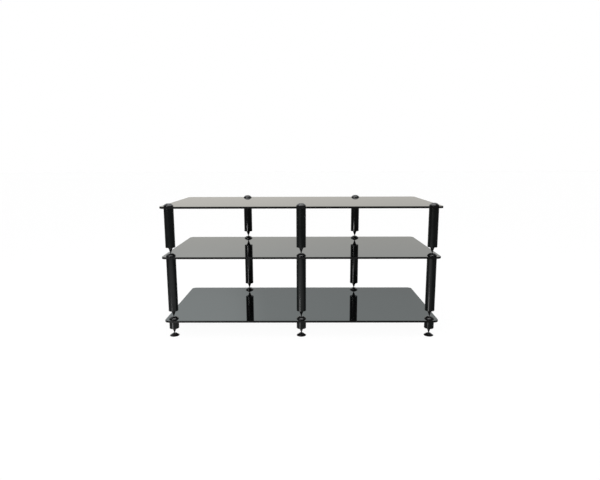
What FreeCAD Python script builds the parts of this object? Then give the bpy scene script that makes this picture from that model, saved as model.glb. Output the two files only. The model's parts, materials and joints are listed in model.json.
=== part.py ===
import FreeCAD
import Part
import Sketcher
import math
import os

# A low rack for audio equipment: three glass shelves on five columns of spiked posts.
# Millimetres. The origin is on the floor, under the middle of the shelves.
# +X is to the right of someone facing the front, +Y to the back and +Z up.

SIZES = {
    # glass shelves
    "shelf_width": "1100",
    "shelf_depth": "500",
    "glass_thickness": "8",
    "corner_radius": "20",
    "arris": "0.7",
    "shelf_hole_width": "12",
    # where the columns stand, from the edges of the glass to their axes
    "side_inset": "32",
    "front_inset": "29",
    "back_inset": "37",
    "back_column_share": "0.5",
    # tubes of the feet and posts
    "tube_width": "38",
    "tube_wall": "2",
    "tube_edge": "0.4",
    "foot_length": "30",
    "lower_post_length": "216.5",
    "upper_post_length": "154.5",
    # tapped plugs in the tubes
    "top_plug_length": "14",
    "bottom_plug_length": "16",
    "plug_clearance": "0.05",
    # screw threads, drawn as plain cylinders
    "thread_width": "8",
    "thread_clearance": "0.05",
    "thread_lead_in": "1",
    "stud_grip": "11.5",
    "stud_end_clearance": "0.3",
    # soft washers and bushes around the glass
    "washer_thickness": "1",
    "cap_washer_width": "36",
    "post_washer_width": "37",
    "bush_clearance": "0.15",
    # caps on the shelves
    "cap_width": "38",
    "cap_top_width": "15",
    "cap_height": "9.5",
    "cap_rim": "1.5",
    "cap_dome_radius": "27",
    "cap_hole_depth": "6",
    # shoes on the floor
    "shoe_width": "38",
    "shoe_top_width": "13",
    "shoe_height": "10.5",
    "shoe_rim": "1.5",
    # dimples that the spike points stand in
    "dimple_width": "7",
    "dimple_floor_width": "2",
    "dimple_depth": "1",
    # spikes
    "spike_tip_width": "1.2",
    "spike_land": "1.5",
    "floor_spike_width": "16",
    "floor_spike_length": "22.5",
    "floor_spike_thread": "15",
    "tier_spike_width": "18",
    "tier_spike_length": "25",
    "tier_spike_thread": "22",
}

PLACES = {
    # column axes
    "front_x": "=sizes.shelf_width / 2 - sizes.side_inset",
    "back_x": "=front_x * sizes.back_column_share",
    "front_y": "=sizes.front_inset - sizes.shelf_depth / 2",
    "back_y": "=sizes.shelf_depth / 2 - sizes.back_inset",
    # heights above the underside of a shelf's glass
    "cap_seat": "=sizes.glass_thickness + sizes.washer_thickness",
    "spike_seat": "=cap_seat + sizes.cap_height - sizes.dimple_depth",
    "stud_foot": "=-sizes.washer_thickness - sizes.stud_grip",
    # lower ends of the tubes and undersides of the glass, above the floor
    "foot_level": "=sizes.shoe_height - sizes.dimple_depth + sizes.floor_spike_length",
    "bottom_glass": "=foot_level + sizes.foot_length + sizes.washer_thickness",
    "lower_post_level": "=bottom_glass + spike_seat + sizes.tier_spike_length",
    "middle_glass": "=lower_post_level + sizes.lower_post_length + sizes.washer_thickness",
    "upper_post_level": "=middle_glass + spike_seat + sizes.tier_spike_length",
    "top_glass": "=upper_post_level + sizes.upper_post_length + sizes.washer_thickness",
    # radii that several pieces share
    "tube_bore": "=sizes.tube_width / 2 - sizes.tube_wall",
    "plug_radius": "=tube_bore - sizes.plug_clearance",
    "thread_radius": "=sizes.thread_width / 2",
    "tapped_radius": "=thread_radius + sizes.thread_clearance",
    "bush_radius": "=sizes.shelf_hole_width / 2 - sizes.bush_clearance",
    "stud_length": "=cap_seat + sizes.cap_hole_depth - sizes.stud_end_clearance - stud_foot",
}

COLUMNS = {
    "front_left": ("-places.front_x", "places.front_y"),
    "front_middle": ("0", "places.front_y"),
    "front_right": ("places.front_x", "places.front_y"),
    "back_left": ("-places.back_x", "places.back_y"),
    "back_right": ("places.back_x", "places.back_y"),
}

FULL_TURN = 360


def fill_sheet(doc, name, cells):
    """Make a sheet with one named value per row."""
    sheet = doc.addObject("Spreadsheet::Sheet", name)
    for row, (alias, content) in enumerate(cells.items(), start=1):
        sheet.set(f"A{row}", alias)
        sheet.set(f"B{row}", content)
        sheet.setAlias(f"B{row}", alias)


def place(piece, across, back, up):
    """Bind the place of a piece to the sheets."""
    for direction, where in zip("xyz", (across, back, up)):
        piece.setExpression(f"Placement.Base.{direction}", where)


def sketch_on(body, name, role):
    """Attach a new sketch to one of the body's own planes."""
    sketch = body.newObject("Sketcher::SketchObject", name)
    plane = next(f for f in body.Origin.OriginFeatures if f.Role == role)
    sketch.AttachmentSupport = [(plane, "")]
    sketch.MapMode = "FlatFace"
    return sketch


def bind(sketch, constraint, name, size):
    """Add a dimension to a sketch and bind it to the sheets."""
    index = sketch.addConstraint(constraint)
    sketch.renameConstraint(index, name)
    sketch.setExpression(f"Constraints.{name}", size)


def bind_point(sketch, line, point, name, across, up):
    """Dimension a point of a sketch from the sketch's origin."""
    for kind, size in (("DistanceX", across), ("DistanceY", up)):
        start = sketch.evalExpression(size)
        constraint = Sketcher.Constraint(kind, -1, 1, line, point, start)
        bind(sketch, constraint, f"{name}_{kind}", size)


def bulge(start, end, radius):
    """An arc that runs anticlockwise between two points of a sketch."""
    chord = end - start
    inwards = FreeCAD.Vector(-chord.y, chord.x, 0).normalize()
    rise = math.sqrt(radius ** 2 - (chord.Length / 2) ** 2)
    centre = (start + end) / 2 + inwards * rise
    crown = centre - inwards * radius
    return Part.Arc(start, crown, end)


def closed_outline(sketch, points, domes=None):
    """Draw a closed outline through points given as pairs of expressions.

    Its sides are straight, apart from those whose number is in domes with the radius of their bulge.
    """
    domes = domes or {}
    starts = [FreeCAD.Vector(*map(sketch.evalExpression, point), 0) for point in points]
    ends = starts[1:] + starts[:1]
    for side, (start, end) in enumerate(zip(starts, ends)):
        if side in domes:
            sketch.addGeometry(bulge(start, end, sketch.evalExpression(domes[side])), False)
        else:
            sketch.addGeometry(Part.LineSegment(start, end), False)
    for line in range(len(points)):
        following = (line + 1) % len(points)
        sketch.addConstraint(Sketcher.Constraint("Coincident", line, 2, following, 1))
    for line, (across, up) in enumerate(points):
        bind_point(sketch, line, 1, f"point_{line}", across, up)
    for side, radius in domes.items():
        size = Sketcher.Constraint("Radius", side, sketch.evalExpression(radius))
        bind(sketch, size, f"dome_{side}", radius)


def turned(doc, label, outline, domes=None):
    """Turn an outline of (radius, height) points into a round solid that stands on the origin."""
    body = doc.addObject("PartDesign::Body", label)
    body.Label = label
    sketch = sketch_on(body, f"{label}_outline", "XZ_Plane")
    closed_outline(sketch, outline, domes)
    turn = body.newObject("PartDesign::Revolution", f"{label}_turn")
    turn.Profile = sketch
    turn.ReferenceAxis = (sketch, ["V_Axis"])
    turn.Angle = FULL_TURN
    return body


def group(doc, label, outline, level, domes=None):
    """Stand a copy of one turned piece on each column, as separate solids in one node."""
    pattern = turned(doc, f"{label}_pattern", outline, domes)
    copies = []
    for column, (across, back) in COLUMNS.items():
        copy = doc.addObject("App::Link", f"{label}_{column}")
        copy.setLink(pattern)
        place(copy, across, back, level)
        copies.append(copy)
    gathered = doc.addObject("Part::Compound", label)
    gathered.Label = label
    gathered.Links = copies
    return gathered


def ring(inner, outer, height):
    """Outline of a plain ring."""
    return [(inner, "0"), (outer, "0"), (outer, height), (inner, height)]


def tube(length):
    """Outline of a tube with its outer edges broken."""
    outer = "sizes.tube_width / 2"
    broken = "sizes.tube_width / 2 - sizes.tube_edge"
    return [
        ("places.tube_bore", "0"),
        (broken, "0"),
        (outer, "sizes.tube_edge"),
        (outer, f"{length} - sizes.tube_edge"),
        (broken, length),
        ("places.tube_bore", length),
    ]


def dimple(top):
    """The part of an outline that dips into a spike's dimple, from its rim to the axis."""
    floor = f"{top} - sizes.dimple_depth"
    return [
        ("sizes.dimple_width / 2", top),
        ("sizes.dimple_floor_width / 2", floor),
        ("0", floor),
    ]


def cap():
    """Outline of a cap: a dimple above, a tapped hole below and a side that CAP_DOME makes round."""
    return [
        ("places.tapped_radius", "0"),
        ("sizes.cap_width / 2", "0"),
        ("sizes.cap_width / 2", "sizes.cap_rim"),
        ("sizes.cap_top_width / 2", "sizes.cap_height"),
        *dimple("sizes.cap_height"),
        ("0", "sizes.cap_hole_depth"),
        ("places.tapped_radius", "sizes.cap_hole_depth"),
    ]


CAP_DOME = {2: "sizes.cap_dome_radius"}


def shoe():
    """Outline of a floor shoe: a blunt cone with a dimple above and a flat base."""
    return [
        ("0", "0"),
        ("sizes.shoe_width / 2", "0"),
        ("sizes.shoe_width / 2", "sizes.shoe_rim"),
        ("sizes.shoe_top_width / 2", "sizes.shoe_height"),
        *dimple("sizes.shoe_height"),
    ]


def stud():
    """Outline of a cap stud with both ends eased."""
    eased = "places.thread_radius - sizes.thread_lead_in"
    return [
        ("0", "0"),
        (eased, "0"),
        ("places.thread_radius", "sizes.thread_lead_in"),
        ("places.thread_radius", "places.stud_length - sizes.thread_lead_in"),
        (eased, "places.stud_length"),
        ("0", "places.stud_length"),
    ]


def spike(kind):
    """Outline of a spike that stands on its tip, with its thread on top."""
    shoulder = f"sizes.{kind}_length"
    end = f"sizes.{kind}_length + sizes.{kind}_thread"
    return [
        ("0", "0"),
        ("sizes.spike_tip_width / 2", "0"),
        (f"sizes.{kind}_width / 2", f"{shoulder} - sizes.spike_land"),
        (f"sizes.{kind}_width / 2", shoulder),
        ("places.thread_radius", shoulder),
        ("places.thread_radius", f"{end} - sizes.thread_lead_in"),
        ("places.thread_radius - sizes.thread_lead_in", end),
        ("0", end),
    ]


def edges_where(feature, test):
    """Names of a feature's edges whose end heights pass a test."""
    names = []
    for number, edge in enumerate(feature.Shape.Edges, start=1):
        heights = [vertex.Z for vertex in edge.Vertexes]
        if test(heights[0], heights[-1]):
            names.append(f"Edge{number}")
    return names


def glass_shelf(doc, label, level):
    """A glass shelf with rounded corners, eased edges and a hole on each column."""
    body = doc.addObject("PartDesign::Body", label)
    body.Label = label
    outline = sketch_on(body, f"{label}_outline", "XY_Plane")
    half_width, half_depth = "sizes.shelf_width / 2", "sizes.shelf_depth / 2"
    closed_outline(outline, [
        (f"-{half_width}", f"-{half_depth}"),
        (half_width, f"-{half_depth}"),
        (half_width, half_depth),
        (f"-{half_width}", half_depth),
    ])
    sheet = body.newObject("PartDesign::Pad", f"{label}_sheet")
    sheet.Profile = outline
    sheet.setExpression("Length", "sizes.glass_thickness")
    doc.recompute()

    corners = body.newObject("PartDesign::Fillet", f"{label}_corners")
    corners.Base = (sheet, edges_where(sheet, lambda low, high: low != high))
    corners.setExpression("Radius", "sizes.corner_radius")
    doc.recompute()

    eased = body.newObject("PartDesign::Chamfer", f"{label}_edges")
    eased.Base = (corners, edges_where(corners, lambda low, high: low == high))
    eased.setExpression("Size", "sizes.arris")
    doc.recompute()

    centres = sketch_on(body, f"{label}_hole_centres", "XY_Plane")
    for number, (column, (across, back)) in enumerate(COLUMNS.items()):
        centre = FreeCAD.Vector(centres.evalExpression(across), centres.evalExpression(back), 0)
        width = centres.evalExpression("sizes.shelf_hole_width")
        centres.addGeometry(Part.Circle(centre, FreeCAD.Vector(0, 0, 1), width / 2), False)
        bind_point(centres, number, 3, column, across, back)
        hole_size = Sketcher.Constraint("Diameter", number, width)
        bind(centres, hole_size, f"{column}_width", "sizes.shelf_hole_width")
    holes = body.newObject("PartDesign::Pocket", f"{label}_holes")
    holes.Profile = centres
    holes.Type = "ThroughAll"
    holes.Reversed = True
    doc.recompute()
    if holes.Shape.Volume >= eased.Shape.Volume:
        raise RuntimeError(f"the holes of {label} cut nothing")
    place(body, "0", "0", level)
    return body


def shelf_fixings(doc, shelf, glass):
    """What fastens the caps of one shelf through its glass to the tubes below."""
    seat = f"{glass} + places.cap_seat"
    bush = ring("places.tapped_radius", "places.bush_radius", "sizes.glass_thickness")
    cap_washer = ring("places.tapped_radius", "sizes.cap_washer_width / 2", "sizes.washer_thickness")
    post_washer = ring("places.tapped_radius", "sizes.post_washer_width / 2", "sizes.washer_thickness")
    return [
        group(doc, f"{shelf}_caps", cap(), seat, CAP_DOME),
        group(doc, f"{shelf}_cap_studs", stud(), f"{glass} + places.stud_foot"),
        group(doc, f"{shelf}_hole_bushes", bush, glass),
        group(doc, f"{shelf}_cap_washers", cap_washer, f"{glass} + sizes.glass_thickness"),
        group(doc, f"{shelf}_post_washers", post_washer, f"{glass} - sizes.washer_thickness"),
    ]


def column_row(doc, name, outline, level):
    """One named piece on each column."""
    pieces = []
    for column, (across, back) in COLUMNS.items():
        piece = turned(doc, f"{column}_{name}", outline)
        place(piece, across, back, level)
        pieces.append(piece)
    return pieces


def plug(length):
    """Outline of a tapped plug that fits a tube."""
    return ring("places.tapped_radius", "places.plug_radius", length)


def bottom_tier(doc):
    """Shoes, floor spikes, feet and the bottom shelf."""
    foot = "places.foot_level"
    tip = f"{foot} - sizes.floor_spike_length"
    return [
        *column_row(doc, "shoe", shoe(), "0"),
        *column_row(doc, "floor_spike", spike("floor_spike"), tip),
        *column_row(doc, "foot", tube("sizes.foot_length"), foot),
        group(doc, "foot_cores", plug("sizes.foot_length"), foot),
        glass_shelf(doc, "bottom_shelf", "places.bottom_glass"),
        *shelf_fixings(doc, "bottom_shelf", "places.bottom_glass"),
    ]


def upper_tier(doc, row, shelf, glass):
    """Spikes, posts and the shelf of a tier that stands on the caps below it."""
    level = f"places.{row}_post_level"
    length = f"sizes.{row}_post_length"
    tip = f"{level} - sizes.tier_spike_length"
    top_plug_level = f"{level} + {length} - sizes.top_plug_length"
    return [
        *column_row(doc, f"{row}_spike", spike("tier_spike"), tip),
        *column_row(doc, f"{row}_post", tube(length), level),
        group(doc, f"{row}_post_bottom_plugs", plug("sizes.bottom_plug_length"), level),
        group(doc, f"{row}_post_top_plugs", plug("sizes.top_plug_length"), top_plug_level),
        glass_shelf(doc, shelf, glass),
        *shelf_fixings(doc, shelf, glass),
    ]


def check(doc, pieces):
    """Stop if any object failed or any piece has no sound shape."""
    failed = [thing.Label for thing in doc.Objects if {"Invalid", "Error"} & set(thing.State)]
    broken = [piece.Label for piece in pieces if piece.Shape.isNull() or not piece.Shape.isValid()]
    if failed or broken:
        raise RuntimeError(f"failed objects: {failed}, broken shapes: {broken}")


def main():
    """Build the rack and write one file for each piece."""
    doc = FreeCAD.newDocument("equipment_rack")
    fill_sheet(doc, "sizes", SIZES)
    fill_sheet(doc, "places", PLACES)
    doc.recompute()
    pieces = [
        *bottom_tier(doc),
        *upper_tier(doc, "lower", "middle_shelf", "places.middle_glass"),
        *upper_tier(doc, "upper", "top_shelf", "places.top_glass"),
    ]
    doc.recompute()
    check(doc, pieces)
    os.makedirs("parts", exist_ok=True)
    for piece in pieces:
        piece.Shape.exportStep(f"parts/{piece.Label}.step")
    print(f"{len(pieces)} pieces written")


main()
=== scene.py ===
"""Looks of a low audio equipment rack: three black glass shelves on five columns of spiked posts.

Lengths are in metres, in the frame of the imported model: the origin is on the floor under the middle
of the shelves, +X is to the right of someone facing the front, +Y to the back and +Z up.
"""

from __future__ import annotations

import json
import logging
import math
from abc import ABC, abstractmethod
from dataclasses import dataclass, replace
from enum import Enum
from typing import ClassVar, Iterable, Optional, Union

import bmesh
import bpy
from mathutils import Matrix, Vector

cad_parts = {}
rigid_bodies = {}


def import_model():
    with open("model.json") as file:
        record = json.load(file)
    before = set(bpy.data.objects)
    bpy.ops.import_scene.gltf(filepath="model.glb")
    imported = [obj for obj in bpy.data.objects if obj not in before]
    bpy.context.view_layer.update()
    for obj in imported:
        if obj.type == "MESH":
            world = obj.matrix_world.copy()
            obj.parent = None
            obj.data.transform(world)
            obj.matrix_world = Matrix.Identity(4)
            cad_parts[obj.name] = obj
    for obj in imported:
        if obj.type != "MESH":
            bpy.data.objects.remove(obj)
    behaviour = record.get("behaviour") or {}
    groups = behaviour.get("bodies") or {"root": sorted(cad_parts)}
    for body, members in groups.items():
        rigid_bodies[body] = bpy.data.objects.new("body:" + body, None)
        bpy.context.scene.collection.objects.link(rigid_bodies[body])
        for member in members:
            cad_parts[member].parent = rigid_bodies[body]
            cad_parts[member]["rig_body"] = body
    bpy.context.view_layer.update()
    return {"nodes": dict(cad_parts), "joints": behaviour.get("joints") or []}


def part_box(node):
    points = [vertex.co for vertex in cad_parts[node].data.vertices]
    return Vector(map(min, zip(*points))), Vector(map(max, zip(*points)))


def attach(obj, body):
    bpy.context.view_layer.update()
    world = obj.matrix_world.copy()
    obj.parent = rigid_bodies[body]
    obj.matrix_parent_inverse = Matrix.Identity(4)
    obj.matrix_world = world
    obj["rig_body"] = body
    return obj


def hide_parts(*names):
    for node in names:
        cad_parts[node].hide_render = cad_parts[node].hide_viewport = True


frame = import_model()

LOG = logging.getLogger("rack")
TURNING_MAP = "turning"
BARE_MAP = "bare_steel"
TINY = 1e-6
FLOAT, COLOUR = "NodeSocketFloat", "NodeSocketColor"

Colour = tuple[float, float, float]
Place = tuple[float, float, float]
Span = tuple[float, float]
Node = bpy.types.Node
Socket = bpy.types.NodeSocket
Outputs = bpy.types.NodeOutputs
Source = Union[Socket, float, tuple, Vector]
TreeOwner = Union[bpy.types.Material, bpy.types.World, bpy.types.Light]
Verts = list[bmesh.types.BMVert]


class Column(Enum):
    """The five columns that carry the shelves."""

    FRONT_LEFT = "front_left"
    FRONT_MIDDLE = "front_middle"
    FRONT_RIGHT = "front_right"
    BACK_LEFT = "back_left"
    BACK_RIGHT = "back_right"

    def foot(self, height: float) -> Vector:
        """Return the point of the column's axis at a height above the floor."""
        turn = next(j for j in frame["joints"] if j["name"] == f"{self.value}_floor_spike_turn")
        return Vector((turn["pos_m"][0], turn["pos_m"][1], height))


class Slot(Enum):
    """The record's material slots."""

    GLASS = "black_glass"
    TUBE = "satin_black_tube"
    TURNED = "black_turned_steel"
    ZINC = "zinc_steel"
    RUBBER = "black_rubber"
    NYLON = "white_nylon"


class Graph:
    """A node tree with short ways to add nodes and join them.

    The numbers are those of the sockets that hold colours on Blender's Mix node.
    """

    mix_first: ClassVar[int] = 6
    mix_second: ClassVar[int] = 7
    mix_result: ClassVar[int] = 2

    def __init__(self, tree: bpy.types.NodeTree) -> None:
        """Take over an empty node tree."""
        self.tree = tree

    @classmethod
    def of(cls, owner: TreeOwner) -> Graph:
        """Empty a node tree and take it over.

        Args:
            owner: The material, world or lamp that has it.

        Returns:
            The empty tree.
        """
        owner.use_nodes = True
        owner.node_tree.nodes.clear()
        return cls(owner.node_tree)

    def add(self, kind: str, **settings: object) -> Node:
        """Add a node.

        Args:
            kind: The node's type.
            settings: Properties of the node, by name.

        Returns:
            The new node.
        """
        node = self.tree.nodes.new(kind)
        for name, value in settings.items():
            setattr(node, name, value)
        return node

    def feed(self, socket: Socket, source: Source) -> None:
        """Join a socket to an output, or set it to a plain value.

        Args:
            socket: The socket.
            source: The output or the value. A plain colour gets its full alpha here.
        """
        if isinstance(source, Socket):
            self.tree.links.new(source, socket)
        elif socket.type == "RGBA":
            socket.default_value = (*source, 1.0)
        else:
            socket.default_value = source

    def join(self, node: Node, *sources: Source, **named: Source) -> Outputs:
        """Feed a node's inputs.

        Args:
            node: The node.
            sources: What its first inputs get, in order.
            named: What other inputs get, by name.

        Returns:
            The node's outputs.
        """
        for socket, source in zip(node.inputs, sources):
            self.feed(socket, source)
        for name, source in named.items():
            self.feed(node.inputs[name], source)
        return node.outputs

    def math(self, operation: str, first: Source, second: Source = 0.0) -> Socket:
        """Return the result of a sum, named as Blender names it, of one or two values."""
        return self.join(self.add("ShaderNodeMath", operation=operation), first, second)[0]

    def vector_math(self, operation: str, first: Source, second: Source) -> Outputs:
        """Return the results of a sum, named as Blender names it, of two vectors."""
        return self.join(self.add("ShaderNodeVectorMath", operation=operation), first, second)

    def parts(self, vector: Socket) -> Outputs:
        """Return the X, Y and Z of a vector."""
        return self.join(self.add("ShaderNodeSeparateXYZ"), vector)

    def blend(self, share: Source, first: Source, second: Source) -> Socket:
        """Mix two colours.

        Args:
            share: How much of the second colour shows, from 0 to 1.
            first: The first colour.
            second: The second colour.

        Returns:
            The mixed colour.
        """
        node = self.add("ShaderNodeMix", data_type="RGBA")
        self.feed(node.inputs["Factor"], share)
        self.feed(node.inputs[self.mix_first], first)
        self.feed(node.inputs[self.mix_second], second)
        return node.outputs[self.mix_result]

    def span(self, value: Source, start: float, end: float, low: Source = 0.0, high: Source = 1.0) -> Socket:
        """Ease a value from one range into another.

        Args:
            value: The value to map.
            start: Where the low end of the result is reached.
            end: Where the high end of the result is reached.
            low: The result at the start and before it.
            high: The result at the end and past it.

        Returns:
            The eased value.
        """
        node = self.add("ShaderNodeMapRange", interpolation_type="SMOOTHSTEP")
        return self.join(node, value, start, end, low, high)[0]

    def noise(self, scale: Source, detail: float, place: Optional[Socket] = None) -> Socket:
        """Add smooth noise, about 0.5 on average.

        Args:
            scale: Patches per metre.
            detail: How many finer layers it has.
            place: The coordinates that it follows, if not the piece's own.

        Returns:
            The noise.
        """
        where = self.place_in_frame() if place is None else place
        return self.join(self.add("ShaderNodeTexNoise"), Vector=where, Scale=scale, Detail=detail)[0]

    def place_in_frame(self) -> Socket:
        """Return coordinates in metres that stay with the piece."""
        return self.add("ShaderNodeTexCoord").outputs["Object"]

    def upwardness(self) -> Socket:
        """Return how far the surface looks up, from -1 to 1."""
        return self.parts(self.add("ShaderNodeNewGeometry").outputs["Normal"])["Z"]

    def mix_shaders(self, share: Source, first: Socket, second: Socket) -> Socket:
        """Return a mix of two shaders, by how much of the second shows."""
        return self.join(self.add("ShaderNodeMixShader"), share, first, second)[0]

    def by_ray(self, plain: Socket, polished: Socket, seen: Socket) -> Socket:
        """Show each kind of ray a shader of its own.

        Args:
            plain: What lights the rack.
            polished: What polished surfaces mirror.
            seen: What the camera sees.

        Returns:
            The mixed shader.
        """
        path = self.add("ShaderNodeLightPath").outputs
        mirrored = self.math("MAXIMUM", path["Is Glossy Ray"], path["Is Transmission Ray"])
        return self.mix_shaders(path["Is Camera Ray"], self.mix_shaders(mirrored, plain, polished), seen)


class Effect(ABC):
    """A surface effect that several finishes share: a shader node group, built once."""

    title: ClassVar[str]
    inputs: ClassVar[dict[str, str]]
    outputs: ClassVar[dict[str, str]]

    @classmethod
    @abstractmethod
    def wire(cls, graph: Graph, given: Outputs) -> dict[str, Socket]:
        """Build the inside of the group.

        Args:
            graph: The group's own tree.
            given: The group's inputs, by name.

        Returns:
            What each output of the group shows, by name.
        """

    @classmethod
    def group(cls) -> bpy.types.NodeTree:
        """Build the group, if it isn't there yet.

        Returns:
            The group.
        """
        found = bpy.data.node_groups.get(cls.title)
        if found:
            return found
        tree = bpy.data.node_groups.new(cls.title, "ShaderNodeTree")
        for direction, sockets in (("INPUT", cls.inputs), ("OUTPUT", cls.outputs)):
            for name, kind in sockets.items():
                tree.interface.new_socket(name, in_out=direction, socket_type=kind)
        graph = Graph(tree)
        shown = cls.wire(graph, graph.add("NodeGroupInput").outputs)
        graph.join(graph.add("NodeGroupOutput"), **shown)
        return tree

    @classmethod
    def place(cls, graph: Graph, **values: Source) -> Outputs:
        """Put the effect into a material with its own values, and return the effect's outputs."""
        return graph.join(graph.add("ShaderNodeGroup", node_tree=cls.group()), **values)


class Mottle(Effect):
    """Slow changes of tone, as a coating has that isn't equally thick everywhere."""

    title = "mottle"
    inputs = {"Colour": COLOUR, "Other": COLOUR, "Patches": FLOAT}
    outputs = {"Colour": COLOUR, "Share": FLOAT}
    even_span: ClassVar[Span] = (0.32, 0.68)
    detail: ClassVar[float] = 3.0

    @classmethod
    def wire(cls, graph: Graph, given: Outputs) -> dict[str, Socket]:
        """Mix two tones by patchy noise."""
        share = graph.span(graph.noise(given["Patches"], cls.detail), *cls.even_span)
        return {"Colour": graph.blend(share, given["Colour"], given["Other"]), "Share": share}


class FineGrain(Effect):
    """A fine pebbled skin, as powder coat and moulded rubber have."""

    title = "fine_grain"
    inputs = {"Density": FLOAT}
    outputs = {"Height": FLOAT, "Fleck": FLOAT}
    pebble_detail: ClassVar[float] = 1.0
    fleck_detail: ClassVar[float] = 0.0
    fleck_span: ClassVar[Span] = (0.66, 0.74)
    finer_share: ClassVar[float] = 3.1

    @classmethod
    def wire(cls, graph: Graph, given: Outputs) -> dict[str, Socket]:
        """Lay coarse pebbles and sparse fine flecks.

        Args:
            graph: The group's own tree.
            given: How many pebbles a metre has.

        Returns:
            The height of the pebbles and the mask of the flecks.
        """
        finer = graph.math("MULTIPLY", given["Density"], cls.finer_share)
        return {
            "Height": graph.noise(given["Density"], cls.pebble_detail),
            "Fleck": graph.span(graph.noise(finer, cls.fleck_detail), *cls.fleck_span),
        }


class TurningLines(Effect):
    """Fine rings that a lathe tool leaves around a turned piece."""

    title = "turning_lines"
    inputs = {"Density": FLOAT}
    outputs = {"Height": FLOAT}
    drift_share: ClassVar[float] = 0.012
    scale: ClassVar[float] = 1.0
    detail: ClassVar[float] = 2.0

    @classmethod
    def wire(cls, graph: Graph, given: Outputs) -> dict[str, Socket]:
        """Follow the distance along the turned outline, which the mesh's own map holds.

        Args:
            graph: The group's own tree.
            given: How many lines a metre has.

        Returns:
            The height of the lines.
        """
        around, along, _ = graph.parts(graph.add("ShaderNodeUVMap", uv_map=TURNING_MAP).outputs[0])
        stretched = graph.join(graph.add("ShaderNodeCombineXYZ"),
                               graph.math("MULTIPLY", around, cls.drift_share),
                               graph.math("MULTIPLY", along, given["Density"]))[0]
        return {"Height": graph.noise(cls.scale, cls.detail, stretched)}


class PatchyMask(Effect):
    """A mask of where something lies on a surface, broken up by noise."""

    inputs = {"Amount": FLOAT, "Patches": FLOAT}
    outputs = {"Mask": FLOAT}
    where_span: ClassVar[Span]
    patch_span: ClassVar[Span]
    detail: ClassVar[float]

    @classmethod
    @abstractmethod
    def where(cls, graph: Graph) -> Socket:
        """Return a value that is high where it lies."""

    @classmethod
    def wire(cls, graph: Graph, given: Outputs) -> dict[str, Socket]:
        """Break up where it lies.

        Args:
            graph: The group's own tree.
            given: How strong the mask is, and how many patches of it a metre has.

        Returns:
            The mask.
        """
        where = graph.span(cls.where(graph), *cls.where_span)
        patch = graph.span(graph.noise(given["Patches"], cls.detail), *cls.patch_span)
        return {"Mask": graph.math("MULTIPLY", graph.math("MULTIPLY", where, patch), given["Amount"])}


class EdgeWear(PatchyMask):
    """Wear of the outer edges, where a coating is thin and handling rubs it."""

    title = "edge_wear"
    where_span = (0.511, 0.523)
    patch_span = (0.42, 0.62)
    detail = 2.0

    @classmethod
    def where(cls, graph: Graph) -> Socket:
        """Return how far the mesh stands out at its edges."""
        return graph.add("ShaderNodeNewGeometry").outputs["Pointiness"]


class SettledDust(PatchyMask):
    """Faint dust that lies on faces that look up."""

    title = "settled_dust"
    where_span = (0.6, 0.98)
    patch_span = (0.62, 0.8)
    detail = 4.0

    @classmethod
    def where(cls, graph: Graph) -> Socket:
        """Return how far the surface looks up."""
        return graph.upwardness()


@dataclass(frozen=True)
class Layer:
    """Wear or dust on a finish.

    Fields: its effect, how strong it is, how many patches of it a metre has, and its colour.
    """

    effect: type[PatchyMask]
    amount: float
    patches: float
    colour: Colour

    def over(self, graph: Graph, under: Socket) -> Socket:
        """Return a colour with the layer over it."""
        mask = self.effect.place(graph, Amount=self.amount, Patches=self.patches)["Mask"]
        return graph.blend(mask, under, self.colour)


@dataclass(frozen=True)
class Relief:
    """The fine relief of a finish.

    Fields: its effect, how many of its grains or lines a metre has, its depth, and how much of it shows.
    """

    effect: type[Effect]
    density: float
    depth: float
    strength: float

    def lay(self, graph: Graph, shader: Node) -> Outputs:
        """Raise a shader's surface.

        Args:
            graph: The material's tree.
            shader: The shader.

        Returns:
            What the effect puts out.
        """
        shown = self.effect.place(graph, Density=self.density)
        raised = graph.join(graph.add("ShaderNodeBump"), Distance=self.depth, Strength=self.strength,
                            Height=shown["Height"])
        graph.feed(shader.inputs["Normal"], raised[0])
        return shown


@dataclass(frozen=True)
class Finish(ABC):
    """The finish of one of the record's material slots.

    Fields: its two close tones, how many patches of them a metre has, and its roughness.
    """

    slot: ClassVar[Slot]
    colour: Colour
    other: Colour
    patches: float
    roughness: float

    @abstractmethod
    def wire(self, graph: Graph, shader: Node) -> None:
        """Join the finish's nodes to the shader.

        Args:
            graph: The material's tree.
            shader: The material's Principled shader.
        """

    def material(self) -> bpy.types.Material:
        """Build the finish's material, if it isn't there yet.

        Returns:
            The material.
        """
        name = f"{self.slot.value}_finish"
        found = bpy.data.materials.get(name)
        if found:
            return found
        made = bpy.data.materials.new(name)
        graph = Graph.of(made)
        shader = graph.add("ShaderNodeBsdfPrincipled")
        graph.join(graph.add("ShaderNodeOutputMaterial"), Surface=shader.outputs[0])
        self.wire(graph, shader)
        return made

    def tone(self, graph: Graph) -> Outputs:
        """Mottle the two tones, and return their mix and the share of the second."""
        return Mottle.place(graph, Colour=self.colour, Other=self.other, Patches=self.patches)


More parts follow.
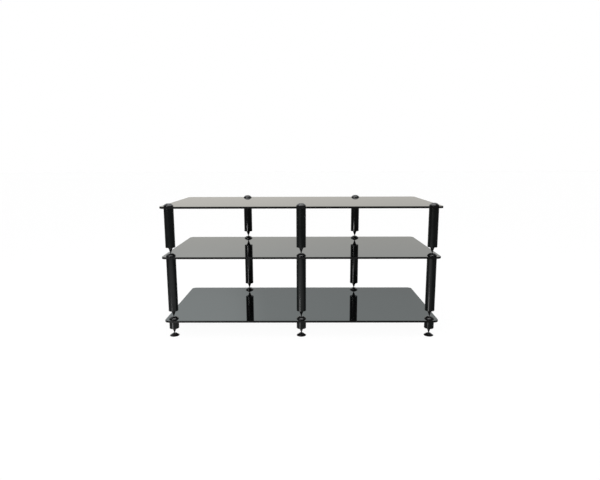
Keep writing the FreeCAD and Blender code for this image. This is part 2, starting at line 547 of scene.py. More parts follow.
@dataclass(frozen=True)
class BlackGlass(Finish):
    """Opaque black float glass: polished faces, finely ground edges, faint smears and a little dust."""

    slot = Slot.GLASS
    colour: Colour = (0.0095, 0.0105, 0.011)
    other: Colour = (0.0125, 0.0138, 0.0142)
    patches: float = 4.0
    roughness: float = 0.012
    smears: float = 9.0
    smear_detail: float = 5.0
    smear_span: Span = (0.6, 0.82)
    smear_roughness: float = 0.035
    face_span: Span = (0.75, 0.95)
    ground_colour: Colour = (0.0025, 0.0029, 0.0029)
    ground_roughness: float = 0.42
    dust: Layer = Layer(SettledDust, amount=0.035, patches=900.0, colour=(0.3, 0.29, 0.27))

    def wire(self, graph: Graph, shader: Node) -> None:
        """Tell faces from ground edges, then lay smears and dust on the faces.

        Args:
            graph: The material's tree.
            shader: The material's Principled shader.
        """
        face = graph.span(graph.math("ABSOLUTE", graph.upwardness()), *self.face_span)
        body = graph.blend(face, self.ground_colour, self.tone(graph)["Colour"])
        graph.feed(shader.inputs["Base Color"], self.dust.over(graph, body))
        smear = graph.span(graph.noise(self.smears, self.smear_detail), *self.smear_span,
                           self.roughness, self.smear_roughness)
        ground = graph.span(face, 0.0, 1.0, self.ground_roughness, 0.0)
        graph.feed(shader.inputs["Roughness"], graph.math("MAXIMUM", smear, ground))


@dataclass(frozen=True)
class MetalFinish(Finish):
    """A finish on metal.

    Fields: its roughness where the other tone shows, the wear of its edges, and its relief.
    """

    rough_other: float
    wear: Layer
    relief: Relief

    def patchy(self, graph: Graph, share: Socket) -> Socket:
        """Return the roughness, by how much of the other tone shows."""
        return graph.span(share, 0.0, 1.0, self.roughness, self.rough_other)


@dataclass(frozen=True)
class PowderCoat(MetalFinish):
    """Satin black powder coat, with a fine orange-peel skin and slightly rubbed rims."""

    slot = Slot.TUBE
    colour: Colour = (0.003, 0.0042, 0.0041)
    other: Colour = (0.004, 0.0053, 0.0052)
    patches: float = 40.0
    roughness: float = 0.11
    rough_other: float = 0.15
    wear: Layer = Layer(EdgeWear, amount=0.3, patches=260.0, colour=(0.07, 0.07, 0.072))
    relief: Relief = Relief(FineGrain, density=500.0, depth=0.00006, strength=0.025)
    fleck_colour: Colour = (0.012, 0.0125, 0.013)

    def wire(self, graph: Graph, shader: Node) -> None:
        """Raise the coat's skin, and lay flecks and worn rims over its mottled tones.

        Args:
            graph: The material's tree.
            shader: The material's Principled shader.
        """
        tone = self.tone(graph)
        flecks = self.relief.lay(graph, shader)["Fleck"]
        flecked = graph.blend(flecks, tone["Colour"], self.fleck_colour)
        graph.feed(shader.inputs["Base Color"], self.wear.over(graph, flecked))
        graph.feed(shader.inputs["Roughness"], self.patchy(graph, tone["Share"]))


@dataclass(frozen=True)
class TurnedSteel(MetalFinish):
    """Semi-gloss black over turned steel: fine lathe rings, rubbed edges, and cups of bare steel."""

    slot = Slot.TURNED
    colour: Colour = (0.007, 0.007, 0.0075)
    other: Colour = (0.011, 0.011, 0.0115)
    patches: float = 120.0
    roughness: float = 0.16
    rough_other: float = 0.24
    wear: Layer = Layer(EdgeWear, amount=0.7, patches=420.0, colour=(0.16, 0.16, 0.165))
    relief: Relief = Relief(TurningLines, density=1500.0, depth=0.00003, strength=0.9)
    shine: float = 0.85
    dust: Layer = Layer(SettledDust, amount=0.06, patches=1500.0, colour=(0.26, 0.25, 0.235))
    bare_colour: Colour = (0.26, 0.26, 0.265)
    bare_roughness: float = 0.34
    bare_span: Span = (0.6, 0.9)

    def wire(self, graph: Graph, shader: Node) -> None:
        """Cut lathe rings, rub the edges of a mottled coat, bare its cups and let a little dust settle.

        Args:
            graph: The material's tree.
            shader: The material's Principled shader.
        """
        shader.inputs["Specular IOR Level"].default_value = self.shine
        self.relief.lay(graph, shader)
        tone = self.tone(graph)
        marked = graph.add("ShaderNodeAttribute", attribute_name=BARE_MAP).outputs["Fac"]
        bare = graph.span(marked, *self.bare_span)
        steel = graph.blend(bare, self.wear.over(graph, tone["Colour"]), self.bare_colour)
        graph.feed(shader.inputs["Base Color"], self.dust.over(graph, steel))
        graph.feed(shader.inputs["Metallic"], bare)
        coat = self.patchy(graph, tone["Share"])
        graph.feed(shader.inputs["Roughness"], graph.span(bare, 0.0, 1.0, coat, self.bare_roughness))


@dataclass(frozen=True)
class ZincSteel(MetalFinish):
    """Zinc-plated steel of the plugs and studs, with faint rings and duller patches."""

    slot = Slot.ZINC
    colour: Colour = (0.5, 0.51, 0.52)
    other: Colour = (0.4, 0.42, 0.45)
    patches: float = 160.0
    roughness: float = 0.32
    rough_other: float = 0.46
    wear: Layer = Layer(EdgeWear, amount=0.6, patches=300.0, colour=(0.68, 0.68, 0.68))
    relief: Relief = Relief(TurningLines, density=1800.0, depth=0.00003, strength=0.4)

    def wire(self, graph: Graph, shader: Node) -> None:
        """Mottle the plating, brighten its edges and raise its lathe rings.

        Args:
            graph: The material's tree.
            shader: The material's Principled shader.
        """
        shader.inputs["Metallic"].default_value = 1.0
        self.relief.lay(graph, shader)
        tone = self.tone(graph)
        graph.feed(shader.inputs["Base Color"], self.wear.over(graph, tone["Colour"]))
        graph.feed(shader.inputs["Roughness"], self.patchy(graph, tone["Share"]))


@dataclass(frozen=True)
class MouldedFinish(Finish):
    """A cloudy moulded skin, with a fine grain as its relief."""

    relief: Relief

    def wire(self, graph: Graph, shader: Node) -> None:
        """Give the mottled skin its grain.

        Args:
            graph: The material's tree.
            shader: The material's Principled shader.
        """
        shader.inputs["Roughness"].default_value = self.roughness
        self.relief.lay(graph, shader)
        graph.feed(shader.inputs["Base Color"], self.tone(graph)["Colour"])


@dataclass(frozen=True)
class BlackRubber(MouldedFinish):
    """Matt black rubber of the washers."""

    slot = Slot.RUBBER
    colour: Colour = (0.012, 0.012, 0.012)
    other: Colour = (0.02, 0.0198, 0.0195)
    patches: float = 220.0
    roughness: float = 0.72
    relief: Relief = Relief(FineGrain, density=2400.0, depth=0.00005, strength=0.5)


@dataclass(frozen=True)
class WhiteNylon(MouldedFinish):
    """Natural nylon of the bushes in the glass."""

    slot = Slot.NYLON
    colour: Colour = (0.72, 0.71, 0.66)
    other: Colour = (0.64, 0.63, 0.58)
    patches: float = 240.0
    roughness: float = 0.48
    relief: Relief = Relief(FineGrain, density=1800.0, depth=0.00003, strength=0.3)


GLASS, TUBE, TURNED = BlackGlass(), PowderCoat(), TurnedSteel()
ZINC, RUBBER, NYLON = ZincSteel(), BlackRubber(), WhiteNylon()


@dataclass(frozen=True)
class Corner:
    """A corner of a turned outline.

    Fields: its distance from the axis, its height above the piece's foot, the radius of its easing, and
    how bare of its coat the steel is there, from 0 to 1.
    """

    radius: float
    height: float
    ease: float = 0.0
    bare: float = 0.0

    def spot(self) -> Vector:
        """Return the corner's place in the outline's plane."""
        return Vector((self.radius, self.height))


@dataclass(frozen=True)
class Outline:
    """A turned outline.

    Fields: its corners, whether it closes on itself as a ring's does, the steps of a rounding, the share of
    a side that a rounding takes at most, and how far past a rounding a point holds the side straight, as a
    length and as a share of the side.
    """

    corners: tuple[Corner, ...]
    ring: bool = False
    steps: ClassVar[int] = 5
    most_share: ClassVar[float] = 0.45
    hold: ClassVar[float] = 0.0004
    hold_share: ClassVar[float] = 0.04

    def points(self) -> list[Vector]:
        """Follow the outline, with eased corners as arcs.

        Returns:
            Points, each with a distance from the axis, a height and a bareness.
        """
        found: list[Vector] = []
        count = len(self.corners)
        for number, corner in enumerate(self.corners):
            spots = [corner.spot()]
            if corner.ease and (self.ring or 0 < number < count - 1):
                before, after = (self.corners[(number + step) % count].spot() for step in (-1, 1))
                spots = self.arc(spots[0], before, after, corner.ease)
            found.extend(Vector((*spot, corner.bare)) for spot in spots)
        return found

    def arc(self, here: Vector, before: Vector, after: Vector, ease: float) -> list[Vector]:
        """Round one corner.

        Args:
            here: The corner.
            before: The corner before it.
            after: The corner after it.
            ease: The radius of the rounding, cut down where the sides are short.

        Returns:
            Points along the rounding, in order, with one on each side that holds its edge.
        """
        back, onward = before - here, after - here
        half = back.angle(onward) / 2
        reach = min(ease / math.tan(half), self.most_share * min(back.length, onward.length))
        start, end = here + back.normalized() * reach, here + onward.normalized() * reach
        middle = here + (back.normalized() + onward.normalized()).normalized() * (reach / math.cos(half))
        turn = (start - middle).angle_signed(end - middle)
        bend = [middle + Matrix.Rotation(-turn * step / self.steps, 2) @ (start - middle)
                for step in range(self.steps + 1)]
        first, last = (side.normalized() * min(self.hold, self.hold_share * side.length)
                       for side in (back, onward))
        return [start + first, *bend, end + last]


class TurnedMesh:
    """A mesh of pieces turned around the columns' axes, with maps of its lathe rings and bare steel."""

    def __init__(self, segments: int) -> None:
        """Start an empty mesh.

        Args:
            segments: How many sides its rings have.
        """
        self.segments = segments
        self.mesh = bmesh.new()
        self.map = self.mesh.loops.layers.uv.new(TURNING_MAP)
        self.bare = self.mesh.verts.layers.float.new(BARE_MAP)

    def turn(self, outline: Outline, foot: Vector) -> Verts:
        """Turn an outline around the axis through a point.

        Args:
            outline: The outline, measured from the point.
            foot: The point.

        Returns:
            The vertices of the last ring.
        """
        points = outline.points()
        rings = [self.ring(foot, point) for point in points]
        travelled = [0.0]
        for start, end in zip(points, points[1:] + points[:1]):
            travelled.append(travelled[-1] + (end.xy - start.xy).length)
        strips = len(rings) if outline.ring else len(rings) - 1
        for row in range(strips):
            self.strip(rings[row], rings[(row + 1) % len(rings)], travelled[row], travelled[row + 1])
        return rings[-1]

    def ring(self, foot: Vector, point: Vector) -> Verts:
        """Make the vertices of one ring, or a single one on the axis.

        Args:
            foot: The point on the axis from which heights are measured.
            point: The ring's radius, height and bareness.

        Returns:
            The new vertices, in order around the axis.
        """
        sides = 1 if point.x < TINY else self.segments
        angles = (math.tau * side / sides for side in range(sides))
        made = [self.mesh.verts.new(foot + Vector((point.x * math.cos(a), point.x * math.sin(a), point.y)))
                for a in angles]
        for vertex in made:
            vertex[self.bare] = point.z
        return made

    def strip(self, low: Verts, high: Verts, start: float, end: float) -> None:
        """Join two rings with faces.

        Args:
            low: The first ring.
            high: The second ring.
            start: The distance along the outline to the first ring.
            end: The distance along the outline to the second ring.
        """
        for side in range(self.segments):
            following = side + 1
            spots = [(low, side, start), (low, following, start), (high, following, end), (high, side, end)]
            corners, places = [], []
            for ring, number, along in spots:
                vertex = ring[number % len(ring)]
                if vertex not in corners:
                    corners.append(vertex)
                    places.append((number / self.segments, along))
            for loop, spot in zip(self.mesh.faces.new(corners).loops, places):
                loop[self.map].uv = spot

    def closed(self, name: str) -> bpy.types.Mesh:
        """Finish the mesh, with its faces looking outwards.

        Args:
            name: The mesh's name.

        Returns:
            The finished mesh.
        """
        bmesh.ops.recalc_face_normals(self.mesh, faces=self.mesh.faces[:])
        made = bpy.data.meshes.new(name)
        self.mesh.to_mesh(made)
        self.mesh.free()
        return made


@dataclass(frozen=True)
class ScrewThread:
    """A right-hand metric thread cut on a stud.

    Fields: its outer radius, pitch, depth, eased end, sides per turn, and its profile over one pitch, as
    pairs of a share of the pitch and a share of the depth. A spare turn at each end is cut off.
    """

    radius: float = 0.004
    pitch: float = 0.00125
    depth: float = 0.00075
    lead_in: float = 0.001
    sides: int = 40
    profile: tuple[Span, ...] = ((0.0, 1.0), (0.25, 1.0), (0.5625, 0.0), (0.6875, 0.0))
    spare_turns: ClassVar[int] = 2

    def point(self, row: int, side: int, length: float) -> Vector:
        """Work out a point of the stud's grid, whose rows climb one pitch in a turn.

        Args:
            row: The number of its row, where one pitch has as many rows as the profile has points.
            side: The number of its side.
            length: The stud's length.

        Returns:
            The point, measured from the stud's foot.
        """
        turn, step = divmod(row, len(self.profile))
        share, cut = self.profile[step]
        height = self.pitch * (turn - 1 + share + side / self.sides)
        ease = max(0.0, height - (length - self.lead_in))
        reach = self.radius - max(self.depth * cut, ease)
        angle = math.tau * side / self.sides
        return Vector((reach * math.cos(angle), reach * math.sin(angle), height))

    def cut(self, mesh: bmesh.types.BMesh, foot: Vector, length: float) -> list[bmesh.types.BMEdge]:
        """Add a threaded stud to a mesh.

        Args:
            mesh: The mesh.
            foot: Where the stud's axis leaves its shoulder.
            length: The stud's length.

        Returns:
            The open edges around its foot.
        """
        steps = len(self.profile)
        rows = steps * (math.ceil(length / self.pitch) + self.spare_turns)
        grid = [[mesh.verts.new(foot + self.point(row, side, length)) for side in range(self.sides)]
                for row in range(rows)]
        faces = []
        for low, high in zip(grid, grid[1:]):
            for side in range(self.sides - 1):
                faces.append(mesh.faces.new((low[side], low[side + 1], high[side + 1], high[side])))
        for low, high, low_on, high_on in zip(grid, grid[1:], grid[steps:], grid[steps + 1:]):
            faces.append(mesh.faces.new((low[-1], low_on[0], high_on[0], high[-1])))
        tip = foot + Vector((0.0, 0.0, length))
        self.trim(mesh, faces, foot, keep_above=True)
        faces = [face for face in mesh.faces if min(v.co.z for v in face.verts) > foot.z - TINY]
        self.trim(mesh, faces, tip, keep_above=False)
        bmesh.ops.holes_fill(mesh, edges=self.rim(mesh, tip), sides=0)
        return self.rim(mesh, foot)

    @staticmethod
    def trim(mesh: bmesh.types.BMesh, faces: list[bmesh.types.BMFace], level: Vector,
             keep_above: bool) -> None:
        """Cut faces off square at a level.

        Args:
            mesh: The mesh that holds them.
            faces: The faces.
            level: A point at the level.
            keep_above: Whether what is above the level stays.
        """
        # The keys of a dict stay in order, as those of a set don't, so each run gives the same mesh.
        edges = dict.fromkeys(edge for face in faces for edge in face.edges)
        points = dict.fromkeys(vertex for face in faces for vertex in face.verts)
        bmesh.ops.bisect_plane(mesh, geom=[*points, *edges, *faces], dist=TINY, plane_co=level,
                               plane_no=Vector((0.0, 0.0, 1.0)), clear_inner=keep_above,
                               clear_outer=not keep_above)

    def rim(self, mesh: bmesh.types.BMesh, level: Vector) -> list[bmesh.types.BMEdge]:
        """Find a stud's open edges at a level.

        Args:
            mesh: The mesh.
            level: A point on the stud's axis at the level.

        Returns:
            The open edges there.
        """
        reach = self.radius + TINY
        return [edge for edge in mesh.edges if edge.is_boundary and all(
            abs(v.co.z - level.z) < TINY and (v.co - level).length < reach for v in edge.verts)]


class Bench:
    """Fits finished pieces to the frame."""

    sharp_angle: ClassVar[float] = math.radians(40)

    @classmethod
    def fit(cls, shape: TurnedMesh, node: str, ending: str, finish: Finish) -> None:
        """Put a finished mesh in the place of a node of the frame.

        Args:
            shape: The mesh.
            node: The node that it stands for.
            ending: What the piece's name adds to the node's.
            finish: Its finish.
        """
        name = f"{node}_{ending}"
        mesh = shape.closed(name)
        mesh.polygons.foreach_set("use_smooth", [True] * len(mesh.polygons))
        mesh.set_sharp_from_angle(angle=cls.sharp_angle)
        mesh.materials.append(finish.material())
        piece = bpy.data.objects.new(name, mesh)
        bpy.context.scene.collection.objects.link(piece)
        even = piece.modifiers.new("even_normals", "WEIGHTED_NORMAL")
        even.keep_sharp = True
        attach(piece, frame["nodes"][node]["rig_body"])
        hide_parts(node)
        LOG.info("%s: %d faces, %s", name, len(mesh.polygons), finish.slot.value)

    @staticmethod
    def dress(node: str, finish: Finish) -> None:
        """Give a node of the frame a finish, and keep its shape.

        Args:
            node: The node.
            finish: The finish.
        """
        for slot in frame["nodes"][node].material_slots:
            slot.material = finish.material()
        LOG.info("%s: kept, %s", node, finish.slot.value)


class TurnedPart(ABC):
    """A kind of piece that is turned around the columns' axes.

    Each kind has the number of sides of its rings, what its pieces' names add to the node's, and a finish.
    """

    segments: ClassVar[int] = 72
    ending: ClassVar[str] = "turned"
    finish: ClassVar[Finish] = TURNED

    @abstractmethod
    def outline(self, height: float) -> Outline:
        """Draw the outline of one piece.

        Args:
            height: The piece's height.

        Returns:
            The outline, measured from its foot.
        """

    def shape(self, mesh: TurnedMesh, foot: Vector, height: float) -> None:
        """Add one piece of some height to a mesh, with its foot at a point."""
        mesh.turn(self.outline(height), foot)

    def build(self, node: str, columns: Iterable[Column] = Column) -> None:
        """Make the pieces of one node.

        Args:
            node: The node that they stand for.
            columns: The columns that have one.
        """
        low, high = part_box(node)
        mesh = TurnedMesh(self.segments)
        for column in columns:
            self.shape(mesh, column.foot(low.z), high.z - low.z)
        Bench.fit(mesh, node, self.ending, self.finish)

    def build_row(self, row: str) -> None:
        """Make the five pieces of a row, each in a node of its own."""
        for column in Column:
            self.build(f"{column.value}_{row}", (column,))


@dataclass(frozen=True)
class Dimple:
    """The cup that a spike's point stands in, cut after the coat, so that its steel is bare."""

    width: float = 0.007
    floor_width: float = 0.002
    depth: float = 0.001
    edge: float = 0.0003
    bare: float = 1.0

    def corners(self, top: float) -> tuple[Corner, ...]:
        """Follow the cup from its rim to the axis.

        Args:
            top: The level of the rim.

        Returns:
            The corners.
        """
        floor = top - self.depth
        return (Corner(self.width / 2, top, self.edge, self.bare),
                Corner(self.floor_width / 2, floor, self.edge, self.bare),
                Corner(0.0, floor, bare=self.bare))


@dataclass(frozen=True)
class Shoe(TurnedPart):
    """A floor shoe: a blunt cone with a flat base and a cup on top."""

    width: float = 0.038
    top_width: float = 0.013
    rim: float = 0.0015
    rim_edge: float = 0.0005
    top_edge: float = 0.0009
    dimple: Dimple = Dimple()

    def underside(self) -> tuple[Corner, ...]:
        """Return the corners under the piece, from the axis to near the rim."""
        return (Corner(0.0, 0.0),)

    def flank(self, height: float) -> tuple[Corner, ...]:
        """Return points along the side between rim and top, for a height: none, as it is straight."""
        return ()

    def outline(self, height: float) -> Outline:
        """Draw the outline of one piece.

        Args:
            height: The piece's height.

        Returns:
            The outline, measured from its foot.
        """
        return Outline((
            *self.underside(),
            Corner(self.width / 2, 0.0, self.rim_edge),
            Corner(self.width / 2, self.rim, self.rim_edge),
            *self.flank(height),
            Corner(self.top_width / 2, height, self.top_edge),
            *self.dimple.corners(height),
        ))


@dataclass(frozen=True)
class Cap(Shoe):
    """A cap that clamps a shelf: like a shoe, but domed and with a tapped hole below."""

    top_width: float = 0.015
    dome_radius: float = 0.027
    dome_steps: int = 10
    hole_width: float = 0.0081
    hole_depth: float = 0.006

    def underside(self) -> tuple[Corner, ...]:
        """Return the corners of the tapped hole."""
        return (Corner(0.0, self.hole_depth),
                Corner(self.hole_width / 2, self.hole_depth),
                Corner(self.hole_width / 2, 0.0, self.rim_edge))

    def flank(self, height: float) -> tuple[Corner, ...]:
        """Follow the dome from the rim to the top, without its ends.

        Args:
            height: The cap's height.

        Returns:
            Points along the dome.
        """
        start, end = Vector((self.width / 2, self.rim)), Vector((self.top_width / 2, height))
        chord = end - start
        inwards = Vector((-chord.y, chord.x)).normalized()
        centre = (start + end) / 2 + inwards * math.sqrt(self.dome_radius ** 2 - (chord.length / 2) ** 2)
        whole = 2 * math.asin(chord.length / 2 / self.dome_radius)
        turns = (Matrix.Rotation(whole * step / self.dome_steps, 2) for step in range(1, self.dome_steps))
        return tuple(Corner(*(centre + turn @ (start - centre))) for turn in turns)


@dataclass(frozen=True)
class Spike(TurnedPart):
    """A cone on its point, with a threaded stud that goes up into the tube.

    Fields: its width, its stud's length, the width of its blunt tip, the height of its upright rim, the
    easing of tip and shoulder, how far the shoulder's flat starts from the thread, and the thread.
    """

    width: float
    stud_length: float
    tip_width: float = 0.0012
    land: float = 0.0015
    tip_edge: float = 0.0003
    shoulder_edge: float = 0.0004
    neck: float = 0.0008
    thread: ScrewThread = ScrewThread()
    segments = 56

    def outline(self, height: float) -> Outline:
        """Draw the outline of the cone, up to the neck around its stud.

        Args:
            height: The spike's height, with its stud.

        Returns:
            The outline, measured from its point.
        """
        shoulder = height - self.stud_length
        return Outline((
            Corner(0.0, 0.0),
            Corner(self.tip_width / 2, 0.0, self.tip_edge),
            Corner(self.width / 2, shoulder - self.land, self.shoulder_edge),
            Corner(self.width / 2, shoulder, self.shoulder_edge),
            Corner(self.thread.radius + self.neck, shoulder),
        ))

    def shape(self, mesh: TurnedMesh, foot: Vector, height: float) -> None:
        """Turn the cone, cut the stud's thread and join the two.

        Args:
            mesh: The mesh that the spike goes into.
            foot: Where its point stands.
            height: Its height, with its stud.
        """
        last = mesh.turn(self.outline(height), foot)
        shoulder = foot + Vector((0.0, 0.0, height - self.stud_length))
        rim = self.thread.cut(mesh.mesh, shoulder, self.stud_length)
        neck = [edge for edge in mesh.mesh.edges if edge.verts[0] in last and edge.verts[1] in last]
        bmesh.ops.bridge_loops(mesh.mesh, edges=rim + neck)


@dataclass(frozen=True)
class EasedRing(TurnedPart):
    """A plain ring with eased edges.

    Fields: its width, the width of its bore, and the easing of its outer edges and of its bore.
    """

    width: float
    bore: float = 0.0081
    outer_edge: float = 0.0004
    bore_edge: float = 0.0004
    ending = "ring"

    def outline(self, height: float) -> Outline:
        """Draw the outline of the ring's wall.

        Args:
            height: The ring's height.

        Returns:
            The outline, measured from its foot.
        """
        inner, outer = self.bore / 2, self.width / 2
        return Outline((
            Corner(inner, 0.0, self.bore_edge),
            Corner(outer, 0.0, self.outer_edge),
            Corner(outer, height, self.outer_edge),
            Corner(inner, height, self.bore_edge),
        ), ring=True)


@dataclass(frozen=True)
class Washer(EasedRing):
    """A rubber washer between glass and metal."""

    finish = RUBBER


@dataclass(frozen=True)
class Plug(EasedRing):
    """A tapped steel plug or core inside a tube."""

    width: float = 0.0339
    finish = ZINC


@dataclass(frozen=True)
class Tube(EasedRing):
    """A foot or a post: steel tube with a wall of 2 mm and eased ends."""

    width: float = 0.038
    bore: float = 0.034
    outer_edge: float = 0.0005
    bore_edge: float = 0.0002
    segments = 96
    ending = "coated"
    finish = TUBE


@dataclass(frozen=True)
class Shelf:
    """One glass shelf with its caps and what fastens them."""

    name: str
    cap: Cap = Cap()
    cap_washer: Washer = Washer(width=0.036)
    post_washer: Washer = Washer(width=0.037)

    def build(self) -> None:
        """Dress the glass and the hidden fixings, then make the caps and washers."""
        Bench.dress(self.name, GLASS)
        Bench.dress(f"{self.name}_cap_studs", ZINC)
        Bench.dress(f"{self.name}_hole_bushes", NYLON)
        self.cap.build(f"{self.name}_caps")
        self.cap_washer.build(f"{self.name}_cap_washers")
        self.post_washer.build(f"{self.name}_post_washers")


@dataclass(frozen=True)
class Tier:
    """One tier.

    Fields: what the nodes of its spikes and of its tubes are called after their columns, the nodes of its
    plugs, its shelf, and the kinds of spike, tube and plug that it has.
    """

    spikes: str
    tubes: str
    plugs: tuple[str, ...]
    shelf: Shelf
    spike: Spike = Spike(width=0.018, stud_length=0.022)
    tube: Tube = Tube()
    plug: Plug = Plug()

    def build(self) -> None:
        """Make the tier from the bottom up."""
        self.spike.build_row(self.spikes)
        self.tube.build_row(self.tubes)
        for node in self.plugs:
            self.plug.build(node)
        self.shelf.build()


@dataclass(frozen=True)
class Rack:
    """The whole rack."""

    shoe: Shoe = Shoe()
    tiers: tuple[Tier, ...] = (
        Tier("floor_spike", "foot", ("foot_cores",), Shelf("bottom_shelf"),
             spike=Spike(width=0.016, stud_length=0.015)),
        Tier("lower_spike", "lower_post", ("lower_post_bottom_plugs", "lower_post_top_plugs"),
             Shelf("middle_shelf")),
        Tier("upper_spike", "upper_post", ("upper_post_bottom_plugs", "upper_post_top_plugs"),
             Shelf("top_shelf")),
    )

    def build(self) -> None:
        """Make the shoes, then each tier."""
        self.shoe.build_row("shoe")
        for tier in self.tiers:
            tier.build()


class Reach(Enum):
    """What a lamp shines on, by how Blender links it to the glass."""

    ALL_BUT_GLASS = "EXCLUDE"
    THROUGH_GLASS = "INCLUDE"


@dataclass(frozen=True)
class SoftBox:
    """A soft studio lamp.

    Fields: its name, its place, the point that it looks at, its width and height, its power, what it
    shines on, the nodes of glass, and the ray depth past which a ray was mirrored before. A lamp that
    shines through the glass shows only on what the glass mirrors, so that no view has a glaring lamp in
    a shelf.
    """

    name: str
    place: Place
    aim: Place
    width: float
    height: float
    power: float
    reach: Reach = Reach.ALL_BUT_GLASS
    glass: tuple[str, ...] = ("bottom_shelf", "middle_shelf", "top_shelf")
    mirrored_depth: ClassVar[float] = 2.5

    def dim_at_first(self, lamp: bpy.types.AreaLight) -> None:
        """Put a lamp out for rays that come straight from the first surface seen.

        Args:
            lamp: The lamp.
        """
        graph = Graph.of(lamp)
        depth = graph.add("ShaderNodeLightPath").outputs["Ray Depth"]
        strength = graph.math("GREATER_THAN", depth, self.mirrored_depth)
        light = graph.join(graph.add("ShaderNodeEmission"), Strength=strength)[0]
        graph.join(graph.add("ShaderNodeOutputLight"), Surface=light)

    def build(self) -> None:
        """Hang the lamp and link it to what it shines on."""
        lamp = bpy.data.lights.new(self.name, "AREA")
        lamp.shape = "RECTANGLE"
        lamp.size, lamp.size_y = self.width, self.height
        lamp.energy = self.power
        stand = bpy.data.objects.new(self.name, lamp)
        stand.location = self.place
        stand.rotation_euler = (Vector(self.aim) - Vector(self.place)).to_track_quat("-Z", "Y").to_euler()
        bpy.context.scene.collection.objects.link(stand)
        if self.reach is Reach.THROUGH_GLASS:
            self.dim_at_first(lamp)
        linked = bpy.data.collections.new(f"{self.name}_glass")
        for node in self.glass:
            linked.objects.link(frame["nodes"][node])
        for held in linked.collection_objects:
            held.light_linking.link_state = self.reach.value
        stand.light_linking.receiver_collection = linked


@dataclass(frozen=True)
class Glow:
    """A soft brighter patch of the surroundings.

    Fields: its bearing from the back, its rise above the horizon and its spread, in degrees, and its
    strength.
    """

    bearing: float
    rise: float
    spread: float
    strength: float

    def direction(self) -> Vector:
        """Work out where it is.

        Returns:
            The direction of its middle.
        """
        bearing, rise = math.radians(self.bearing), math.radians(self.rise)
        level = math.cos(rise)
        return Vector((level * math.sin(bearing), level * math.cos(bearing), math.sin(rise)))

    def share(self, graph: Graph, direction: Socket) -> Socket:
        """Return how much light it adds in a direction."""
        facing = graph.vector_math("DOT_PRODUCT", direction, self.direction())["Value"]
        return graph.span(facing, math.cos(math.radians(self.spread)), 1.0, 0.0, self.strength)


@dataclass(frozen=True)
class Surroundings:
    """The pale studio around the rack.

    Fields: the white that the camera sees, the even light on the rack, the tones that polished surfaces
    mirror by their angle above the horizon in degrees, how these change from left to right and towards
    the front, and the brighter patches: behind the rack on the left, before it on the left, and overhead.
    """

    white: Colour = (1.0, 1.0, 1.0)
    ambient: Colour = (0.5, 0.5, 0.5)
    tones: tuple[tuple[float, Colour], ...] = (
        (3.0, (0.68, 0.66, 0.62)),
        (5.0, (0.75, 0.73, 0.68)),
        (9.0, (0.77, 0.77, 0.73)),
        (11.5, (0.89, 0.9, 0.87)),
        (15.0, (0.6, 0.64, 0.64)),
        (19.0, (0.84, 0.91, 0.91)),
        (35.0, (0.95, 0.97, 0.98)),
    )
    side_span: Span = (-0.25, 0.25)
    left_share: float = 1.04
    right_share: float = 0.92
    back_span: Span = (0.2, 0.75)
    front_share: float = 0.12
    glows: tuple[Glow, ...] = (
        Glow(bearing=-13.0, rise=18.5, spread=8.5, strength=0.2),
        Glow(bearing=-145.0, rise=8.0, spread=45.0, strength=0.3),
        Glow(bearing=-30.0, rise=72.0, spread=38.0, strength=0.4),
    )

    def mirrored(self, graph: Graph) -> Socket:
        """Work out the colour that polished surfaces mirror.

        Args:
            graph: The world's tree.

        Returns:
            The colour.
        """
        direction = graph.add("ShaderNodeTexCoord").outputs["Generated"]
        across, back, up = graph.parts(direction)
        ramp = graph.add("ShaderNodeValToRGB")
        stops = ramp.color_ramp.elements
        stops.remove(stops[1])
        for number, (rise, tone) in enumerate(self.tones):
            spot = math.sin(math.radians(rise))
            stop = stops.new(spot) if number else stops[0]
            stop.position, stop.color = spot, (*tone, 1.0)
        side = graph.span(across, *self.side_span, self.left_share, self.right_share)
        front = graph.span(back, *self.back_span, self.front_share, 1.0)
        share = graph.math("MULTIPLY", front, side)
        for glow in self.glows:
            share = graph.math("ADD", share, glow.share(graph, direction))
        return graph.vector_math("MULTIPLY", graph.join(ramp, up)[0], share)[0]

    def build(self) -> None:
        """Make the world, which shows each kind of ray its own light."""
        world = bpy.data.worlds.new("studio")
        bpy.context.scene.world = world
        graph = Graph.of(world)
        shades = (graph.join(graph.add("ShaderNodeBackground"), Color=colour)[0]
                  for colour in (self.ambient, self.mirrored(graph), self.white))
        graph.join(graph.add("ShaderNodeOutputWorld"), Surface=graph.by_ray(*shades))


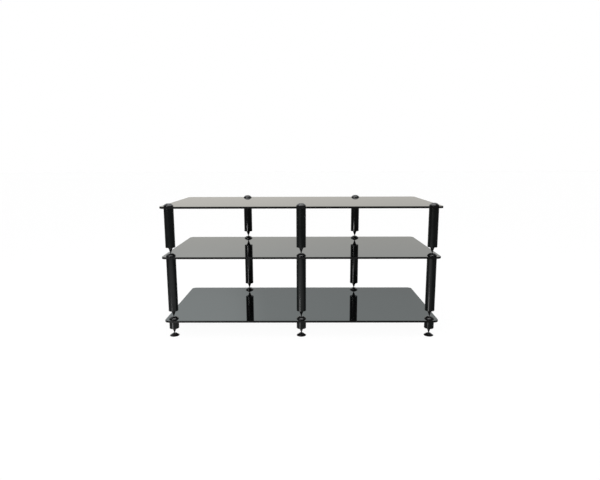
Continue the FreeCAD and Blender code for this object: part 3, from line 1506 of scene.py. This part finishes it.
@dataclass(frozen=True)
class StudioFloor:
    """The pale floor, which keeps a faint shadow of the rack and hides no shoe that is screwed out.

    Fields: its width, its colour, the colour of its shading that the camera sees and how much white of the
    surroundings it lets through to the camera, the pool of light that polished surfaces mirror, brightest
    before the rack on the left, and its slight polish.
    """

    width: float = 60.0
    colour: Colour = (0.8, 0.8, 0.8)
    shaded_colour: Colour = (0.07, 0.07, 0.07)
    clear_colour: Colour = (0.96, 0.96, 0.96)
    pool_centre: Place = (-0.45, -1.2, 0.0)
    pool_reach: Span = (0.2, 1.6)
    pool_bright: float = 0.75
    pool_dim: float = 0.1
    polish_share: float = 0.27
    polish_roughness: float = 0.08

    def mirrored(self, graph: Graph) -> Socket:
        """Work out the shader that polished surfaces mirror.

        Args:
            graph: The floor material's tree.

        Returns:
            The shader.
        """
        away = graph.vector_math("DISTANCE", graph.place_in_frame(), self.pool_centre)["Value"]
        strength = graph.span(away, *self.pool_reach, self.pool_bright, self.pool_dim)
        pool = graph.join(graph.add("ShaderNodeEmission"), Strength=strength)[0]
        polish = graph.join(graph.add("ShaderNodeBsdfGlossy"), Roughness=self.polish_roughness)[0]
        return graph.mix_shaders(self.polish_share, pool, polish)

    def material(self) -> bpy.types.Material:
        """Build the floor's material, which shows each kind of ray its own light and is clear from below.

        Returns:
            The material.
        """
        made = bpy.data.materials.new("studio_floor")
        graph = Graph.of(made)
        plain, shaded = (graph.join(graph.add("ShaderNodeBsdfDiffuse"), Color=colour)[0]
                         for colour in (self.colour, self.shaded_colour))
        clear = graph.join(graph.add("ShaderNodeBsdfTransparent"), Color=self.clear_colour)[0]
        seen = graph.join(graph.add("ShaderNodeAddShader"), clear, shaded)[0]
        above = graph.by_ray(plain, self.mirrored(graph), seen)
        below = graph.add("ShaderNodeBsdfTransparent").outputs[0]
        from_below = graph.add("ShaderNodeNewGeometry").outputs["Backfacing"]
        graph.join(graph.add("ShaderNodeOutputMaterial"),
                   Surface=graph.mix_shaders(from_below, above, below))
        return made

    def build(self) -> None:
        """Lay the floor."""
        half = self.width / 2
        corners = [(-half, -half, 0.0), (half, -half, 0.0), (half, half, 0.0), (-half, half, 0.0)]
        mesh = bpy.data.meshes.new("floor")
        mesh.from_pydata(corners, [], [(0, 1, 2, 3)])
        mesh.materials.append(self.material())
        floor = bpy.data.objects.new("floor", mesh)
        bpy.context.scene.collection.objects.link(floor)


@dataclass(frozen=True)
class PhotoCamera:
    """The camera at the photograph's viewing angle.

    Fields: its place, its angles in degrees, its focal length in pixels of the image, the image's width
    in pixels, and its sensor's width in millimetres.
    """

    place: Place = (0.0074, -2.0334, 0.7009)
    dip: float = 9.612
    swing: float = -0.378
    roll: float = 0.172
    focal_pixels: float = 465.96
    image_width_pixels: float = 600.0
    sensor_mm: float = 36.0

    def build(self) -> None:
        """Set up the camera."""
        lens = bpy.data.cameras.new("camera")
        lens.sensor_fit = "HORIZONTAL"
        lens.sensor_width = self.sensor_mm
        lens.lens = self.focal_pixels / self.image_width_pixels * self.sensor_mm
        camera = bpy.data.objects.new("camera", lens)
        upright = math.pi / 2
        camera.matrix_world = (Matrix.Translation(self.place)
                               @ Matrix.Rotation(-math.radians(self.swing), 4, "Z")
                               @ Matrix.Rotation(upright - math.radians(self.dip), 4, "X")
                               @ Matrix.Rotation(-math.radians(self.roll), 4, "Z"))
        bpy.context.scene.collection.objects.link(camera)
        bpy.context.scene.camera = camera


OVERHEAD_LAMP = SoftBox("overhead", place=(0.0, -0.6, 2.3), aim=(0.0, -0.6, 0.0), width=2.2, height=2.4,
                        power=26.0)
FRONT_LAMP = SoftBox("front_left", place=(-1.4, -2.25, 0.745), aim=(0.0, -0.2, 0.6), width=0.9, height=0.31,
                     power=15.0)
MIRRORED_LAMP = replace(FRONT_LAMP, name="front_left_mirrored", reach=Reach.THROUGH_GLASS)


@dataclass(frozen=True)
class Studio:
    """The floor, the surroundings, the lamps and the camera."""

    surroundings: Surroundings = Surroundings()
    floor: StudioFloor = StudioFloor()
    lamps: tuple[SoftBox, ...] = (OVERHEAD_LAMP, FRONT_LAMP, MIRRORED_LAMP)
    camera: PhotoCamera = PhotoCamera()

    def build(self) -> None:
        """Set up the studio."""
        bpy.context.scene.view_settings.view_transform = "Standard"
        self.surroundings.build()
        self.floor.build()
        for lamp in self.lamps:
            lamp.build()
        self.camera.build()


def main() -> None:
    """Dress the rack and set up the studio."""
    logging.basicConfig(level=logging.INFO, format="%(name)s: %(message)s")
    Rack().build()
    Studio().build()


if __name__ == "__main__":
    main()
